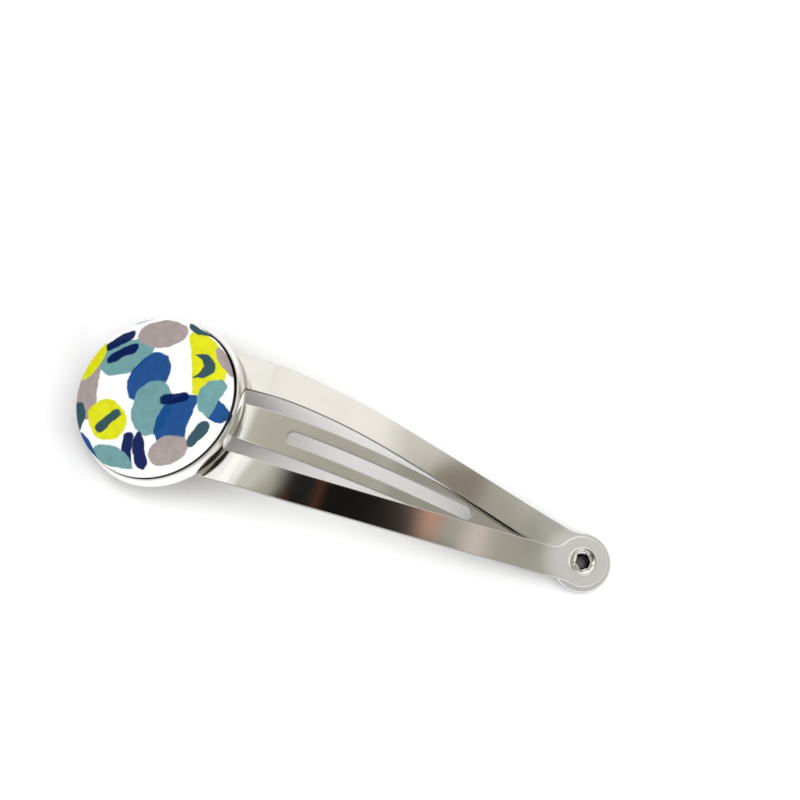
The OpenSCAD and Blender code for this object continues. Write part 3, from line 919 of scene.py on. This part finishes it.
floor_mesh = bpy.data.meshes.new("floor")
floor_mesh.from_pydata(FLOOR_CORNERS, [], [(0, 1, 2, 3)])
floor = placed("floor", floor_mesh)
paper, t = new_material("paper")
near = openness(t, FLOOR_REACH, 12)
from_cup = t.vector("SUBTRACT", in_mm(t), (-MID_X, 0.0, 0.0))
at = t.add("ShaderNodeSeparateXYZ", {0: from_cup})
front, left = t.vector("DOT_PRODUCT", from_cup, FRONT), t.vector("DOT_PRODUCT", from_cup, LEFT)
slits = t.math("MULTIPLY", t.remap(at.outputs[0], *SLIT_ALONG_X, "LINEAR"),
               t.remap(at.outputs[1], *SLIT_ALONG_Y, "LINEAR"))
slits = t.math("MULTIPLY", t.remap(near, *SLIT_RISE), slits)
cup_left_shade = t.math("MULTIPLY", t.remap(left, *CUP_SHADE_RISE), t.remap(left, *CUP_SHADE_FADE))
lift = t.math("MULTIPLY", t.remap(near, *BESIDE_RISE), t.remap(front, *LIGHT_TO_FRONT))
lift = t.math("MULTIPLY", lift, t.remap(at.outputs[0], *LIGHT_TO_TIP))
tone = t.mix(t.noise(in_mm(t), 0.05, 2.0), *PAPER)
# Painted shade in the slits and to the cup's left
tone = t.mix(slits, tone, SLIT_SHADE)
tone = t.mix(cup_left_shade, tone, CUP_SHADE)
# Painted shadow where the paper sees little sky; the emission is a painted glow in front of the clip
surface(t, {"Base Color": t.mix(t.remap(near, *BORE_FADE), BORE_SHADE, tone), "Roughness": 0.9,
            "Specular IOR Level": 0.1, "Emission Color": (1.0, 1.0, 1.0, 1.0), "Emission Strength": lift})
floor_mesh.materials.append(paper)

# Studio: white all round for the eye and for matt surfaces. Polished metal sees a grey room with bright, dark
# and tinted panels in it. Each row: a panel's middle by direction x and y, its half widths, their softness,
# radiance
PANELS = [
    (-0.41, 0.75, 0.78, 0.485, 0.15, 0.025, (1.06, 1.04, 1.00)),
    (-0.80, -0.285, 0.40, 0.525, 0.12, 0.02, (1.25, 1.25, 1.22)),
    (-1.00, 0.00, 0.39, 1.00, 0.03, 0.05, (1.06, 1.04, 1.00)),
    (-1.00, -0.38, 0.39, 0.61, 0.03, 0.02, (1.25, 1.25, 1.22)),
    (-0.62, 0.30, 0.16, 0.055, 0.05, 0.02, (1.06, 1.04, 1.00)),
    (-0.28, 0.11, 0.16, 0.12, 0.14, 0.05, (0.66, 0.65, 0.60)),
    (-0.33, 0.228, 0.24, 0.028, 0.04, 0.018, (0.47, 0.45, 0.38)),
    (0.72, -0.66, 0.34, 0.42, 0.05, 0.05, (0.90, 0.89, 0.84)),
    (0.10, -0.28, 0.40, 0.21, 0.05, 0.060, (0.004, 0.0037, 0.0033)),
    (0.22, -0.04, 0.15, 0.09, 0.06, 0.05, (0.004, 0.0037, 0.0033)),
    (0.06, -0.17, 0.035, 0.09, 0.04, 0.04, (0.070, 0.024, 0.012)),
    (0.47, -0.063, 0.06, 0.027, 0.04, 0.022, (0.58, 0.33, 0.23)),
    (0.45, 0.08, 0.12, 0.035, 0.05, 0.045, (0.70, 0.62, 0.58)),
    (0.53, 0.50, 0.10, 0.09, 0.035, 0.03, (0.28, 0.25, 0.20)),
    (0.50, 0.235, 0.09, 0.03, 0.03, 0.02, (0.35, 0.34, 0.30)),
    (0.36, 0.255, 0.03, 0.02, 0.03, 0.02, (0.52, 0.53, 0.52)),
    (0.00, -1.00, 1.20, 0.38, 0.10, 0.10, (0.82, 0.82, 0.79)),
]
GREY_ROOM, WHITE_ROOM = (0.42, 0.405, 0.35, 1.0), (1.05, 1.05, 1.05, 1.0)
world = bpy.data.worlds.new("studio")
bpy.context.scene.world = world
world.use_nodes = True
t = Tree(world.node_tree)
split = t.add("ShaderNodeSeparateXYZ", {0: t.add("ShaderNodeTexCoord").outputs["Generated"]})
seen = GREY_ROOM
for x, y, wide, high, soft_x, soft_y, colour in PANELS:
    off_x = t.math("ABSOLUTE", t.math("SUBTRACT", split.outputs[0], x))
    off_y = t.math("ABSOLUTE", t.math("SUBTRACT", split.outputs[1], y))
    lit = t.math("MULTIPLY", t.remap(off_x, wide + soft_x, wide - soft_x),
                 t.remap(off_y, high + soft_y, high - soft_y))
    seen = t.mix(lit, seen, (*colour, 1.0))
seen = t.mix(t.add("ShaderNodeLightPath").outputs["Is Glossy Ray"], WHITE_ROOM, seen)
sky = t.add("ShaderNodeBackground", {"Color": seen, "Strength": 1.0})
t.add("ShaderNodeOutputWorld", {"Surface": sky.outputs[0]})

# A soft square lamp above and beyond the tip. Its distance and size are in metres, its power in watts
LAMP_WAY, LAMP_FAR, LAMP_SIZE, LAMP_POWER = (0.75, -0.05, 1.0), 0.8, 0.55, 1.8
key = bpy.data.lights.new("overhead", "AREA")
key.shape, key.size, key.size_y, key.energy = "RECTANGLE", LAMP_SIZE, LAMP_SIZE, LAMP_POWER
aim = Vector(LAMP_WAY).normalized()
side = Vector((0, 1, 0)).cross(aim).normalized()
lamp = aimed("overhead", key, tuple(aim * LAMP_FAR), side, aim.cross(side), aim)
lamp.visible_glossy = False

bpy.context.scene.view_settings.view_transform = "Standard"
